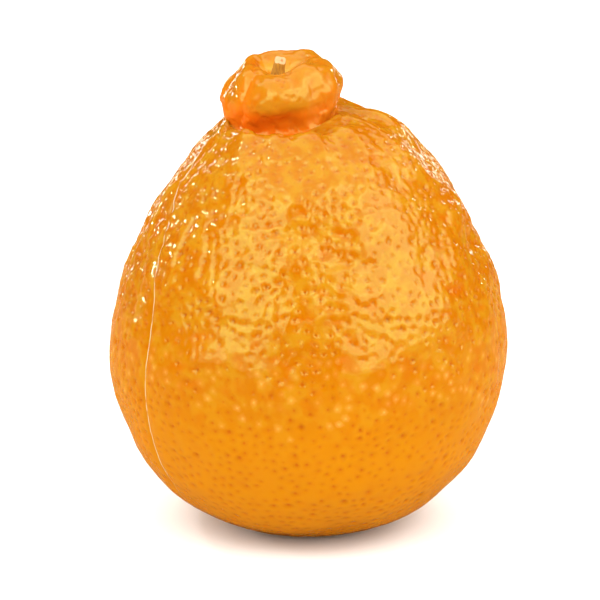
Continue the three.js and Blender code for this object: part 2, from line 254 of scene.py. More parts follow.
class RindShape:
    """The grown surface of the fruit. A point on it has a place, counted in sections from the
    style scar to the floor of the stem pit, and an angle in degrees from the front."""

    def __init__(self, settings):
        body_radius = settings.body_radius / MM
        neck_height = settings.neck_height / MM
        knob_radius = settings.knob_radius / MM
        knob_height = settings.knob_height / MM
        rows = []
        for radius, height, *lean in BODY_SECTIONS:
            rows.append((radius * body_radius, height * neck_height, *lean, 0, 0))
        for radius, height, *lean_and_tip in KNOB_SECTIONS:
            rows.append((radius * knob_radius, neck_height + height * knob_height, *lean_and_tip))
        self.rows = np.array(rows, float)
        self.measure()

    def measure(self):
        """Tables of radius, area and reach on the flat map, along the outline."""
        self.places = np.linspace(0, PIT_FLOOR, OUTLINE_STEPS)
        sections = spline(self.rows, self.places)
        self.radii = sections[:, 0]
        steps = np.hypot(*np.diff(sections[:, :2], axis=0).T)
        middle = (self.radii[1:] + self.radii[:-1]) / 2
        self.area = np.concatenate([[0], np.cumsum(2 * math.pi * middle * steps)])
        spread = np.concatenate([[0], np.cumsum(steps / np.maximum(middle, LEAST_RADIUS))])
        self.spread = spread - spread[-1]

    def normals(self, place):
        """The outline's outward normal, in radius and height."""
        ahead = spline(self.rows, np.minimum(place + SLOPE_STEP, PIT_FLOOR))
        behind = spline(self.rows, np.maximum(place - SLOPE_STEP, 0))
        slope = (ahead - behind)[:, :2]
        length = np.hypot(slope[:, 0], slope[:, 1])
        return slope[:, 1] / length, -slope[:, 0] / length

    def furrow_angle(self, furrow, height):
        """Where a furrow runs at a height."""
        share = (height - FURROW_MIDDLE) / FURROW_MIDDLE
        goal = np.where(share > 0, furrow["top"], furrow["foot"])
        return furrow["middle"] + (goal - furrow["middle"]) * share * share

    def furrow_relief(self, radius, height, angle):
        """The long furrows with the soft lips on both sides of each."""
        relief = np.zeros_like(radius)
        for furrow in FURROWS:
            turn = np.radians(turned(angle - self.furrow_angle(furrow, height)))
            offset = turn * np.maximum(radius, FURROW_LEAST_RADIUS)
            rise = smoothstep(height, furrow["low"], furrow["low"] + FURROW_FADE)
            fall = 1 - smoothstep(height, furrow["high"] - FURROW_FADE, furrow["high"])
            lips = FURROW_LIP * bump(offset, FURROW_LIP_WIDTH * furrow["width"])
            relief -= furrow["depth"] * rise * fall * (groove(offset, furrow["width"]) - lips)
        return relief

    def seam_highlight_line(self, place, angle):
        """How far beside the seam's fine pale line, a painted highlight, a point lies, and how
        strong the line is.
        """
        radius, height = spline(self.rows, place)[:, :2].T
        seam = FURROWS[0]
        offset = np.radians(turned(angle - self.furrow_angle(seam, height))) * radius
        low, high = seam["low"], seam["high"]
        rise = smoothstep(height, low + SEAM_LINE_BEGINS, low + SEAM_LINE_IN_FULL)
        fall = 1 - smoothstep(height, high - SEAM_LINE_FADE, high)
        return offset, rise * fall * (place < NECK)

    def shoulder_relief(self, place, radius, height, angle):
        """The ridges that run from the neck down the shoulder."""
        inner = smoothstep(radius, *RIDGES["rise"])
        outer = 1 - smoothstep(radius, *RIDGES["fade"])
        raised = smoothstep(height, *RIDGES["start"]) * (place <= NECK + 0.5)
        sway = RIDGES["sway"] * np.sin(np.radians(2 * angle))
        fine = np.sin(np.radians(RIDGES["fine"] * angle + sway))
        coarse = np.sin(np.radians(RIDGES["coarse"] * angle + RIDGES["shift"]))
        return RIDGES["height"] * inner * outer * raised * (0.7 * fine + 0.5 * coarse)

    def fold_angle(self, fold, place):
        """Where a fold of the knob runs at a place."""
        low = 1 - smoothstep(place, *FOLDS_LEAVE_NECK)
        high = smoothstep(place, *FOLDS_ENTER_PIT)
        side = fold["side"]
        return side + (fold["neck"] - side) * low + (fold["pit"] - side) * high

    def fold_depth(self, place, angle):
        """Depth of the knob's folds, in millimetres."""
        fade = 1 - smoothstep(place, *CREST_TO_PIT)
        folded = smoothstep(place, *FOLDS_DEEPEN) * fade
        over = smoothstep(place, *FOLDS_OVER_CREST)
        depth = np.zeros_like(place)
        for fold in FOLDS:
            offset = turned(angle - self.fold_angle(fold, place))
            deepest = fold["depth"] + (fold["crest"] - fold["depth"]) * over
            depth += folded * deepest * groove(offset, fold["width"])
        return depth

    def knob_relief(self, place, angle, x, y, z):
        """Folds, lobes and soft lumps of the knob, and the hollows and lobes round the neck."""
        fade = 1 - smoothstep(place, *CREST_TO_PIT)
        relief = -self.fold_depth(place, angle)
        for lobe in LOBES:
            across = bump(turned(angle - lobe["angle"]), lobe["width"])
            relief += fade * lobe["bulge"] * across * bump(place - lobe["at"], lobe["reach"])
        on_knob = smoothstep(place, *NECK_TO_KNOB) * fade
        return relief + on_knob * KNOB_SWELL * lumps(x, y, z, **KNOB_LUMPS)

    def points(self, place, angle):
        """Points of the rind in millimetres. Nothing hangs below the foot, which is flat."""
        radius, height, lean_x, lean_y, tip_x, tip_y = spline(self.rows, place).T
        out, rise = self.normals(place)
        sine = np.sin(np.radians(angle))
        cosine = np.cos(np.radians(angle))
        round_x = radius * sine
        round_y = -radius * cosine
        on_body = smoothstep(place, *FOOT_TO_BODY)
        on_body = on_body * (1 - smoothstep(place, *BODY_TO_NECK))
        share = smoothstep(height, BODY_SWELL["from"], BODY_SWELL["to"])
        swell = BODY_SWELL["low"] + (BODY_SWELL["high"] - BODY_SWELL["low"]) * share
        relief = on_body * swell * lumps(round_x, round_y, LUMP_FLATNESS * height, **BODY_LUMPS)
        relief += on_body * self.furrow_relief(radius, height, angle)
        relief += self.shoulder_relief(place, radius, height, angle)
        relief += self.knob_relief(place, angle, round_x, round_y, height)
        x = (radius + relief * out) * sine
        y = -(radius + relief * out) * cosine
        z = height + relief * rise + tip_x * x + tip_y * y
        return np.column_stack([lean_x + x, lean_y + y, np.maximum(z, 0)])

    def flatten(self, place, angle):
        """The rind rolled out flat round the style scar, with small shapes kept true."""
        reach = np.exp(np.interp(place, self.places, self.spread))
        turn = np.radians(angle)
        return np.column_stack([reach * np.sin(turn), -reach * np.cos(turn)])

    def unflatten(self, flat):
        """Places and angles of points of the flat map."""
        reach = np.maximum(np.hypot(flat[:, 0], flat[:, 1]), 1e-12)
        place = np.interp(np.log(reach), self.spread, self.places)
        return place, np.degrees(np.arctan2(flat[:, 0], -flat[:, 1]))


# The ring of points on the floor of the stem pit, inside which the mesh is closed by a fan
PIT_RING_RADIUS = 1.1
PIT_RING_POINTS = 8
PIT_RING_MARGIN = 0.25

# How often a place for a gland is tried, and the spacing of the points along a crease
GLAND_TRIES = 110000
CREASE_SPACING_BODY = 1.5
CREASE_SPACING_KNOB = 1.05

# Places between which glands move closer together, and where the seam's and the folds' creases
# start and end
GLANDS_MOVE_CLOSER = (NECK - 1.5, NECK)
SEAM_CREASE = (FOOT_EDGE + 0.5, NECK - 0.3)
FOLD_CREASE = (NECK - 0.8, CREST + 1.6)


class GlandField:
    """The oil glands of the rind, spread at random but never closer than their spacing."""

    def __init__(self, shape, settings):
        self.shape = shape
        self.body_spacing = settings.gland_spacing / MM
        self.knob_spacing = settings.knob_gland_spacing / MM
        self.random = np.random.default_rng(SEED)
        self.place = []
        self.angle = []
        self.creased = []
        self.lines = []
        self.cells = {}
        self.ring_place = self.place_of_pit_ring()
        self.add_pit_ring()
        self.add_creases()
        self.scatter()
        self.place = np.array(self.place)
        self.angle = np.array(self.angle)
        self.creased = np.array(self.creased)

    def place_of_pit_ring(self):
        """The place where the pit's floor is as wide as the ring."""
        near = self.shape.places > PIT_FLOOR - 1
        radii = self.shape.radii[near][::-1]
        return float(np.interp(PIT_RING_RADIUS, radii, self.shape.places[near][::-1]))

    def spacing(self, place):
        """Least distance between glands: they stand closer on the knob."""
        on_knob = smoothstep(place, *GLANDS_MOVE_CLOSER)
        return self.body_spacing + (self.knob_spacing - self.body_spacing) * on_knob

    def cell(self, point):
        """The box of space that a point lies in. Near points are looked up by their boxes."""
        return tuple(int(math.floor(value / self.body_spacing)) for value in point)

    def add(self, place, angle, point, creased):
        """Keeps one gland, or one point of a crease, and gives its number."""
        self.cells.setdefault(self.cell(point), []).append(tuple(point))
        self.place.append(float(place))
        self.angle.append(float(angle))
        self.creased.append(creased)
        return len(self.place) - 1

    def crowded(self, point, reach):
        """True if a gland already stands within reach of the point."""
        i, j, k = self.cell(point)
        x, y, z = point
        for a in (i - 1, i, i + 1):
            for b in (j - 1, j, j + 1):
                for c in (k - 1, k, k + 1):
                    for u, v, w in self.cells.get((a, b, c), ()):
                        if (x - u) ** 2 + (y - v) ** 2 + (z - w) ** 2 < reach * reach:
                            return True
        return False

    def add_pit_ring(self):
        """The ring on the pit's floor where the mesh closes."""
        angles = np.arange(PIT_RING_POINTS) * 360 / PIT_RING_POINTS - 180
        points = self.shape.points(np.full(PIT_RING_POINTS, self.ring_place), angles)
        self.ring = []
        for angle, point in zip(angles, points):
            self.ring.append(self.add(self.ring_place, angle, point, True))
        self.lines += zip(self.ring, self.ring[1:] + self.ring[:1])

    def add_line(self, places, angles, spacing):
        """A row of points along a crease, with edges between them so that it stays sharp."""
        points = self.shape.points(places, angles)
        steps = np.linalg.norm(np.diff(points, axis=0), axis=1)
        length = np.concatenate([[0], np.cumsum(steps)])
        count = max(int(length[-1] / spacing), 2)
        goals = np.linspace(0, length[-1], count)
        places = np.interp(goals, length, places)
        angles = np.interp(goals, length, angles)
        previous = None
        for place, angle, point in zip(places, angles, self.shape.points(places, angles)):
            if self.crowded(point, 0.6 * spacing):
                previous = None
                continue
            index = self.add(place, angle, point, True)
            if previous is not None:
                self.lines.append((previous, index))
            previous = index

    def add_creases(self):
        """Rows of points along the seam and along the knob's folds."""
        shape = self.shape
        seam = FURROWS[0]
        places = np.linspace(*SEAM_CREASE, 400)
        heights = spline(shape.rows, places)[:, 1]
        on_seam = (heights > seam["low"]) & (heights < seam["high"])
        angles = shape.furrow_angle(seam, heights[on_seam])
        self.add_line(places[on_seam], angles, CREASE_SPACING_BODY)
        places = np.linspace(*FOLD_CREASE, 200)
        for fold in FOLDS:
            self.add_line(places, shape.fold_angle(fold, places), CREASE_SPACING_KNOB)

    def scatter(self):
        """Darts thrown evenly over the area: each is kept only where no gland is too near."""
        shape = self.shape
        share = self.random.random(GLAND_TRIES)
        angles = self.random.random(GLAND_TRIES) * 360 - 180
        places = np.interp(share * shape.area[-1], shape.area, shape.places)
        inside = places < self.ring_place - PIT_RING_MARGIN
        places, angles = places[inside], angles[inside]
        points = shape.points(places, angles)
        spacings = self.spacing(places)
        for place, angle, point, spacing in zip(places, angles, points, spacings):
            if not self.crowded(point, spacing):
                self.add(place, angle, point, False)


# Each triangle between three glands is cut into this many parts along a side, which puts this many
# points on each edge
FINE_STEPS = 4
EDGE_POINTS = FINE_STEPS - 1

# The first and the last point of an edge stand on the rims of the pits at its ends, but never
# nearer to an end or farther from it than these shares of the edge
RIM_NEAREST = 0.16
RIM_FARTHEST = 0.34


def triangle_grid():
    """Points and triangles of one cut-up triangle, as shares of its three corners."""
    n = FINE_STEPS
    keys = [(i, j, n - i - j) for i in range(n, -1, -1) for j in range(n - i, -1, -1)]
    triangles = []
    for i, j, k in [(i, j, n - 1 - i - j) for i in range(n) for j in range(n - i)]:
        triangles.append(((i + 1, j, k), (i, j + 1, k), (i, j, k + 1)))
    for i, j, k in [(i, j, n - 2 - i - j) for i in range(n - 1) for j in range(n - 1 - i)]:
        triangles.append(((i, j + 1, k + 1), (i + 1, j, k + 1), (i + 1, j + 1, k)))
    return keys, triangles


def vertex_normals(points, triangles):
    """Smooth normals of a mesh."""
    a, b, c = (points[triangles[:, i]] for i in range(3))
    face = np.cross(b - a, c - a)
    total = np.zeros_like(points)
    for i in range(3):
        np.add.at(total, triangles[:, i], face)
    return total / np.maximum(np.linalg.norm(total, axis=1), 1e-12)[:, None]


# How much the pits differ in size, and the half widths in millimetres that none passes
PIT_SIZE_SPREAD = 0.28
PIT_WIDTH_LIMITS = (0.34, 0.7)

# Shares of the glands: without a pit on the body, more of them on the knob, and standing out in
# the lower half, with the heights where they start to, where the lower half ends and where the
# last painted highlight specks are, and the range of a speck's painted highlight strength
PITLESS_ON_BODY = 0.12
PITLESS_MORE_ON_KNOB = 0.5
STANDING_OUT = 0.6
STANDING_OUT_START = (30, 46)
LOWER_HALF_END = (40, 56)
SPECKS_END = 62
SPECK_HIGHLIGHT_STRENGTH = (0.1, 0.7)

# Heights between which the pebbles grow to full size and the foot's painted bounce light fades,
# and middle and half width of the band where the rind is the most mottled by painted shade in its
# hollows
PEBBLES_GROW = (30, 60)
FOOT_BOUNCE_LIGHT_END = (20, 52)
MOTTLED_HEIGHT = 44
MOTTLED_WIDTH = 11

# Places between which the pits and the pebbles start above the foot and end under the stem
PITS_START = (FOOT_EDGE - 0.5, FOOT_EDGE + 1.5)
PITS_CLOSER = (NECK - 0.6, NECK + 0.4)
PEBBLES_START = (FOOT_EDGE - 0.2, FOOT_EDGE + 1.2)
UNDER_STEM = (PIT_FLOOR - 1.6, PIT_FLOOR - 0.6)

# Places between which the knob's colour, the painted light in the stem pit and the painted shade
# under the neck rise and fall, the part of the neck with the deepest painted shade, and the dark
# blotch of painted shade beside it on the right
KNOB_COLOUR_RISE = (NECK - 0.5, NECK + 0.8)
STEM_PIT_LIGHT_RISE = (CREST + 0.8, CREST + 2.5)
NECK_SHADE_RISE = (NECK - 0.3, NECK + 0.1)
NECK_SHADE_FALL = (NECK + 1.0, NECK + 1.9)
NECK_SHADE_FRONT = {"angle": -24, "width": 56}
NECK_SHADE_BLOTCH = {"angle": 56, "width": 18, "above": 1.8, "reach": 0.7, "strength": 0.9}

# What lies lower than this stays flat, and distances from the seam are kept up to this reach
RESTING_HEIGHT = 0.01
SEAM_REACH = 3


class RindMesh:
    """The fine mesh of the rind. Its corners are the glands, so every pit is well shaped."""

    def __init__(self, shape, field, settings):
        self.shape = shape
        self.field = field
        self.settings = settings
        self.flat = shape.flatten(field.place, field.angle)
        self.coarse = self.coarse_triangles()
        self.refine()
        self.close_pit()
        self.masks = {}
        self.raise_relief()
        self.add_masks()

    def coarse_triangles(self):
        """Triangles between neighbouring glands, with the creases kept as edges."""
        corners = [Vector(xy) for xy in self.flat]
        joined = geometry.delaunay_2d_cdt(corners, self.field.lines, [], 0, 1e-9)
        flat, _, faces, sources, _, _ = joined
        if len(flat) != len(corners):
            raise RuntimeError(f"{len(corners)} glands gave {len(flat)} corners on the flat map")
        origin = [source[0] for source in sources]
        triangles = np.array([[origin[corner] for corner in face] for face in faces])
        return triangles[:, ::-1]

    def edge_points(self):
        """Points on the flat map along every edge: one near each end's pit and one midway."""
        corners = self.shape.points(self.field.place, self.field.angle)
        first, last = self.edges.T
        length = np.linalg.norm(corners[first] - corners[last], axis=1)
        rims = np.clip(self.pit_width[self.edges] / length[:, None], RIM_NEAREST, RIM_FARTHEST)
        shares = np.column_stack([rims[:, 0], np.full(len(length), 0.5), 1 - rims[:, 1]])
        start, end = self.flat[first], self.flat[last]
        return start[:, None, :] + shares[:, :, None] * (end - start)[:, None, :]

    def refine(self):
        """Cuts every coarse triangle up and keeps which gland owns each new point."""
        coarse = self.coarse
        count = len(self.flat)
        sides = np.concatenate([coarse[:, [0, 1]], coarse[:, [1, 2]], coarse[:, [2, 0]]])
        self.edges, which = np.unique(np.sort(sides, axis=1), axis=0, return_inverse=True)
        which = which.reshape(3, len(coarse))
        self.pick_pits(count)
        keys, fine = triangle_grid()
        inner = [key for key in keys if min(key) > 0]
        edge_flat = self.edge_points().reshape(-1, 2)
        shares = np.array(inner) / FINE_STEPS
        inner_flat = np.einsum("kc,tcx->tkx", shares, self.flat[coarse]).reshape(-1, 2)
        inner_start = count + len(edge_flat)
        self.flat = np.concatenate([self.flat, edge_flat, inner_flat])

        index = {}
        for corner in range(3):
            key = tuple(FINE_STEPS if i == corner else 0 for i in range(3))
            index[key] = coarse[:, corner]
        for side, (a, b) in enumerate(((0, 1), (1, 2), (2, 0))):
            forward = coarse[:, a] < coarse[:, b]
            for step in range(1, FINE_STEPS):
                key = [0, 0, 0]
                key[a], key[b] = FINE_STEPS - step, step
                position = np.where(forward, step - 1, EDGE_POINTS - step)
                index[tuple(key)] = count + EDGE_POINTS * which[side] + position
        for number, key in enumerate(inner):
            index[key] = inner_start + len(inner) * np.arange(len(coarse)) + number
        parts = [np.column_stack([index[key] for key in keys]) for keys in fine]
        self.triangles = np.concatenate(parts)

        edge_owner = self.edges[:, [0, 0, 1]].reshape(-1)
        inner_owner = np.column_stack([coarse[:, int(np.argmax(key))] for key in inner])
        self.owner = np.concatenate([np.arange(count), edge_owner, inner_owner.reshape(-1)])

    def pick_pits(self, count):
        """Width and depth of each gland's pit, with none on the creases. In the lower half many
        glands stand out instead, and these get a painted highlight speck of random strength."""
        settings = self.settings
        random = self.field.random
        place = self.field.place
        on_knob = smoothstep(place, *PITS_CLOSER)
        size = np.exp(random.normal(0, PIT_SIZE_SPREAD, count))
        present = random.random(count) > PITLESS_ON_BODY + PITLESS_MORE_ON_KNOB * on_knob
        on_foot = smoothstep(place, *PITS_START)
        depth = settings.pit_depth / MM * size * (1 - 0.35 * on_knob) * (0.3 + 0.7 * on_foot)
        height = spline(self.shape.rows, place)[:, 1]
        lower_half = 1 - smoothstep(height, *LOWER_HALF_END)
        chance = STANDING_OUT * smoothstep(height, *STANDING_OUT_START)
        standing_out = random.random(count) < chance
        depth *= 1 - np.where(standing_out, 1.3, 0.1) * lower_half
        self.pit_depth = np.where(present & ~self.field.creased, depth, 0)
        # Painted highlight specks on the glands that stand out in the lower half
        speckled = standing_out & present & ~self.field.creased & (height < SPECKS_END)
        self.speck = np.where(speckled, random.uniform(*SPECK_HIGHLIGHT_STRENGTH, count) * lower_half, 0)
        self.pit_width = np.clip(settings.pit_width / MM * size**0.5, *PIT_WIDTH_LIMITS)

    def close_pit(self):
        """A fan under the calyx closes the mesh on the pit's floor."""
        middle = len(self.flat)
        ring = self.field.ring
        fan = []
        count = len(self.field.place)
        numbers = {tuple(pair): number for number, pair in enumerate(self.edges)}
        for a, b in zip(ring, ring[1:] + ring[:1]):
            first = count + EDGE_POINTS * numbers[(min(a, b), max(a, b))]
            between = list(range(first, first + EDGE_POINTS))
            if a > b:
                between.reverse()
            chain = [a, *between, b]
            fan += [(start, end, middle) for start, end in zip(chain, chain[1:])]
        place, angle = self.shape.unflatten(self.flat)
        self.place = np.append(place, PIT_FLOOR)
        self.angle = np.append(angle, 0.0)
        self.owner = np.append(self.owner, ring[0])
        self.triangles = np.concatenate([self.triangles, np.array(fan)])

    def raise_relief(self):
        """The fine relief: pits with soft rims, and the pebbled swell between them."""
        base = self.shape.points(self.place, self.angle)
        normals = vertex_normals(base, self.triangles)
        away = np.linalg.norm(base - base[self.owner], axis=1)
        width = self.pit_width[self.owner]
        depth = self.pit_depth[self.owner]
        pit = bump(away, 0.85 * width)
        height = spline(self.shape.rows, self.place)[:, 1]
        on_knob = smoothstep(self.place, *NECK_TO_KNOB)
        creased = wrinkles(base, height) + strands(height, self.angle)
        fine = (1 + 0.6 * on_knob) * pebbles(base) + (1 - on_knob) * creased
        zone = 0.55 + 0.45 * smoothstep(height, *PEBBLES_GROW)
        foot = smoothstep(self.place, *PEBBLES_START)
        under_stem = 1 - smoothstep(self.place, *UNDER_STEM)
        pebbled = self.settings.pebble_height / MM * zone * fine
        relief = foot * under_stem * pebbled - depth * pit * under_stem
        relief *= np.where(base[:, 2] < RESTING_HEIGHT, 0, 1)
        self.points = base + relief[:, None] * normals
        self.points[:, 2] = np.maximum(self.points[:, 2], 0)
        # Painted shade: a darker colour in the hollows of the pebbles and wrinkles, strongest in a
        # band at mid height
        mottled = bump(height - MOTTLED_HEIGHT, MOTTLED_WIDTH)
        hollow = smoothstep(-fine, 0.1 - 0.3 * mottled, 1.3 - 0.3 * mottled)
        # Darker in the pits: partly the glands' own deeper tint, partly painted shade
        self.masks["pit"] = pit * np.clip(depth / (self.settings.pit_depth / MM), 0, 1.4)
        # Painted highlight: a pale speck on each gland that stands out
        self.masks["speck"] = bump(away, 1.05 * width) * self.speck[self.owner]
        self.masks["hollow"] = (0.7 * zone + 0.1 * mottled) * hollow * foot
        # Painted light: a brighter colour round the foot for the light bounced up from the floor;
        # the same mask makes the foot rougher
        self.masks["low"] = 1 - smoothstep(height, *FOOT_BOUNCE_LIGHT_END)

    def add_masks(self):
        """Masks for the knob's own colour, the painted shade in its folds, in a blotch on its
        right and under its front, the painted light in its pit, and the seam's painted highlight.
        """
        place, angle = self.place, self.angle
        # Painted shade: a dark red blotch on the knob's right above the neck
        blotch = NECK_SHADE_BLOTCH["strength"] * bump(turned(angle - NECK_SHADE_BLOTCH["angle"]), NECK_SHADE_BLOTCH["width"])
        blotch *= bump(place - NECK - NECK_SHADE_BLOTCH["above"], NECK_SHADE_BLOTCH["reach"])
        front = bump(turned(angle - NECK_SHADE_FRONT["angle"]), NECK_SHADE_FRONT["width"])
        rise = smoothstep(place, *NECK_SHADE_RISE)
        fall = 1 - smoothstep(place, *NECK_SHADE_FALL)
        # Painted highlight: the seam's fine pale line
        beside, seam = self.shape.seam_highlight_line(place, angle)
        # Painted shade deep in the knob's folds, together with the blotch
        self.masks["fold"] = self.shape.fold_depth(place, angle) + blotch
        self.masks["seam"] = seam
        self.masks["beside"] = np.clip(beside, -SEAM_REACH, SEAM_REACH)
        self.masks["knob"] = smoothstep(place, *KNOB_COLOUR_RISE)
        # Painted shade: a deep red-orange under the front of the knob, all round the neck
        self.masks["neck"] = rise * fall * (0.4 + 0.6 * front)
        # Painted light: a brighter colour in the stem pit that cancels its shade
        self.masks["well"] = smoothstep(place, *STEM_PIT_LIGHT_RISE)


# The fine relief between the pits, in millimetres: sizes of the pebbles, length and height of a
# wrinkle, size of the calm patches without wrinkles, and reach and length of the strands
PEBBLE_SIZE = 3.1
SMALL_PEBBLE_SIZE = 1.7
SMALL_PEBBLE_SHIFT = np.array([7, 3, 5])
WRINKLE_LENGTH = 5.5
WRINKLE_HEIGHT = 2.4
CALM_PATCH_SIZE = 17
STRANDS_ROUND = 18
STRAND_LENGTH = 11


def noise_field(points):
    """Smooth noise between about -1 and 1 at each point."""
    return np.array([noise.noise(Vector(point)) for point in points])


def pebbles(points):
    """Small soft bumps between the glands."""
    coarse = noise_field(points / PEBBLE_SIZE)
    small = noise_field(points / SMALL_PEBBLE_SIZE + SMALL_PEBBLE_SHIFT)
    return 0.9 * coarse + 0.6 * small


def wrinkles(points, height):
    """Short level wrinkles on the upper half of the body."""
    level = points * np.array([1 / WRINKLE_LENGTH, 1 / WRINKLE_LENGTH, 1 / WRINKLE_HEIGHT])
    sharp = 1 - 3.2 * np.abs(noise_field(level))
    calm = smoothstep(noise_field(points / CALM_PATCH_SIZE), -0.15, 0.2)
    upper = smoothstep(height, 42, 60) * (1 - 0.6 * smoothstep(height, 80, 92))
    return 0.9 * (1 - 0.8 * calm) * sharp * upper


def strands(height, angle):
    """Long fine creases that run down from the neck, strongest on the left shoulder."""
    turn = np.radians(angle)
    ring = STRANDS_ROUND * np.column_stack([np.sin(turn), np.cos(turn)])
    around = np.column_stack([ring, height / STRAND_LENGTH])
    sharp = 1 - 3.0 * np.sqrt(noise_field(around) ** 2 + 0.006)
    left = bump(turned(angle + 68), 34) * smoothstep(height, 40, 62)
    neck = smoothstep(height, 74, 88)
    return 1.5 * sharp * np.maximum(left, 0.45 * neck)


def mesh_object(name, points, triangles, masks, material):
    """A smooth-shaded mesh object with its masks as attributes, and its material."""
    mesh = bpy.data.meshes.new(name)
    mesh.from_pydata((points * MM).tolist(), [], triangles.tolist())
    for attribute, values in masks.items():
        layer = mesh.attributes.new(attribute, "FLOAT", "POINT")
        layer.data.foreach_set("value", np.asarray(values, np.float32))
    mesh.polygons.foreach_set("use_smooth", np.ones(len(mesh.polygons), bool))
    mesh.materials.append(material)
    mesh.update()
    piece = bpy.data.objects.new(name, mesh)
    bpy.context.scene.collection.objects.link(piece)
    return piece


def add_socket(group, name, kind, output=False, value=None):
    """One named input or output of a node group."""
    side = "OUTPUT" if output else "INPUT"
    socket = group.interface.new_socket(name, in_out=side, socket_type=kind)
    if value is not None:
        socket.default_value = value
    return socket


def mottle_group():
    """Soft patches of a given size: a mask from 0 to 1."""
    group = bpy.data.node_groups.get("Mottle")
    if group:
        return group
    group = bpy.data.node_groups.new("Mottle", "ShaderNodeTree")
    add_socket(group, "Place", "NodeSocketVector")
    add_socket(group, "Patches per metre", "NodeSocketFloat", value=100.0)
    add_socket(group, "Detail", "NodeSocketFloat", value=2.0)
    add_socket(group, "From", "NodeSocketFloat", value=0.35)
    add_socket(group, "To", "NodeSocketFloat", value=0.65)
    add_socket(group, "Mask", "NodeSocketFloat", output=True)
    nodes, links = group.nodes, group.links
    given = nodes.new("NodeGroupInput")
    result = nodes.new("NodeGroupOutput")
    patches = nodes.new("ShaderNodeTexNoise")
    spread = nodes.new("ShaderNodeMapRange")
    spread.interpolation_type = "SMOOTHSTEP"
    links.new(given.outputs["Place"], patches.inputs["Vector"])
    links.new(given.outputs["Patches per metre"], patches.inputs["Scale"])
    links.new(given.outputs["Detail"], patches.inputs["Detail"])
    links.new(patches.outputs["Fac"], spread.inputs["Value"])
    links.new(given.outputs["From"], spread.inputs["From Min"])
    links.new(given.outputs["To"], spread.inputs["From Max"])
    links.new(spread.outputs["Result"], result.inputs["Mask"])
    return group


def grain_group():
    """Fine relief from two sizes of noise: a height from 0 to 1."""
    group = bpy.data.node_groups.get("Grain")
    if group:
        return group
    group = bpy.data.node_groups.new("Grain", "ShaderNodeTree")
    add_socket(group, "Place", "NodeSocketVector")
    add_socket(group, "Stretch", "NodeSocketVector", value=(1.0, 1.0, 1.0))
    add_socket(group, "Grains per metre", "NodeSocketFloat", value=1500.0)
    add_socket(group, "Height", "NodeSocketFloat", output=True)
    nodes, links = group.nodes, group.links
    given = nodes.new("NodeGroupInput")
    result = nodes.new("NodeGroupOutput")
    stretched = nodes.new("ShaderNodeVectorMath")
    stretched.operation = "MULTIPLY"
    noise_node = nodes.new("ShaderNodeTexNoise")
    noise_node.inputs["Detail"].default_value = 3.0
    noise_node.inputs["Roughness"].default_value = 0.6
    links.new(given.outputs["Place"], stretched.inputs[0])
    links.new(given.outputs["Stretch"], stretched.inputs[1])
    links.new(stretched.outputs["Vector"], noise_node.inputs["Vector"])
    links.new(given.outputs["Grains per metre"], noise_node.inputs["Scale"])
    links.new(noise_node.outputs["Fac"], result.inputs["Height"])
    return group


class MaterialMaker:
    """Short words for building one node material."""

    def __init__(self, name):
        self.material = bpy.data.materials.new(name)
        self.material.use_nodes = True
        self.nodes = self.material.node_tree.nodes
        self.links = self.material.node_tree.links
        self.shader = self.nodes["Principled BSDF"]
        self.place = self.nodes.new("ShaderNodeTexCoord").outputs["Object"]

    def group(self, group, **values):
        """A node group at this material's own place, with its own values."""
        node = self.nodes.new("ShaderNodeGroup")
        node.node_tree = group
        self.links.new(self.place, node.inputs["Place"])
        for name, value in values.items():
            node.inputs[name.replace("_", " ")].default_value = value
        return node.outputs[0]

    def attribute(self, name):
        """One of the mesh's masks."""
        node = self.nodes.new("ShaderNodeAttribute")
        node.attribute_name = name
        return node.outputs["Fac"]

    def put(self, value, socket):
        """Links a socket or sets a number."""
        if isinstance(value, bpy.types.NodeSocket):
            self.links.new(value, socket)
        else:
            socket.default_value = value

    def math(self, operation, a, b=0.0, clamp=False):
        """The sum, product or other result of two values."""
        node = self.nodes.new("ShaderNodeMath")
        node.operation = operation
        node.use_clamp = clamp
        self.put(a, node.inputs[0])
        self.put(b, node.inputs[1])
        return node.outputs[0]

    def span(self, value, low, high, to_low=0.0, to_high=1.0):
        """A value between low and high brought between two others."""
        node = self.nodes.new("ShaderNodeMapRange")
        self.put(value, node.inputs["Value"])
        node.inputs["From Min"].default_value = low
        node.inputs["From Max"].default_value = high
        node.inputs["To Min"].default_value = to_low
        node.inputs["To Max"].default_value = to_high
        return node.outputs["Result"]

    def mix(self, factor, a, b):
        """The first colour where the factor is 0 and the second where it is 1."""
        node = self.nodes.new("ShaderNodeMix")
        node.data_type = "RGBA"
        self.put(factor, node.inputs["Factor"])
        for socket, value in ((node.inputs[6], a), (node.inputs[7], b)):
            self.put(value if isinstance(value, bpy.types.NodeSocket) else (*value, 1.0), socket)
        return node.outputs[2]

    def bump(self, height, distance):
        """Fine relief on the whole material, as deep as the distance in metres."""
        node = self.nodes.new("ShaderNodeBump")
        node.inputs["Strength"].default_value = 1.0
        node.inputs["Distance"].default_value = distance
        self.links.new(height, node.inputs["Height"])
        self.links.new(node.outputs["Normal"], self.shader.inputs["Normal"])

    def set(self, **values):
        """Numbers and colours of the shader that are the same all over."""
        for name, value in values.items():
            self.shader.inputs[name.replace("_", " ")].default_value = value


